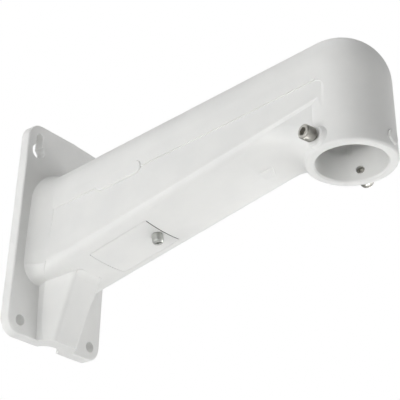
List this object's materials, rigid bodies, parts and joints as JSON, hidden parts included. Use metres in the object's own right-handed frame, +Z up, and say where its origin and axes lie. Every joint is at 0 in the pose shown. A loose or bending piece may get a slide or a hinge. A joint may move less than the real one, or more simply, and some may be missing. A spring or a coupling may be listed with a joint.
{
  "type": "camera wall bracket",
  "caption": "Cast wall bracket for a dome camera: flat plate with keyholes, hollow tapering arm with a wiring hatch, and a round downward socket with locking screws.",
  "frame": {"origin": "middle of the plate's back face, on the wall", "axes": "+X out from the wall along the arm, +Y across the plate, +Z up, away from the socket's mouth"},
  "size_m": [0.3069, 0.097, 0.1826],
  "materials": {
    "white_paint": "white powder coat on die-cast aluminium",
    "black_rubber": "matt foam rubber",
    "steel": "turned stainless steel",
    "plastic": "moulded plastic"
  },
  "bodies": {
    "root": {"bracket_casting": "white_paint", "access_cover": "white_paint", "cover_gasket": "black_rubber", "cover_screw": "steel", "cover_screw_washer": "black_rubber", "cover_screw_retainer": "plastic", "locking_screws": "steel"}
  },
  "joints": []
}
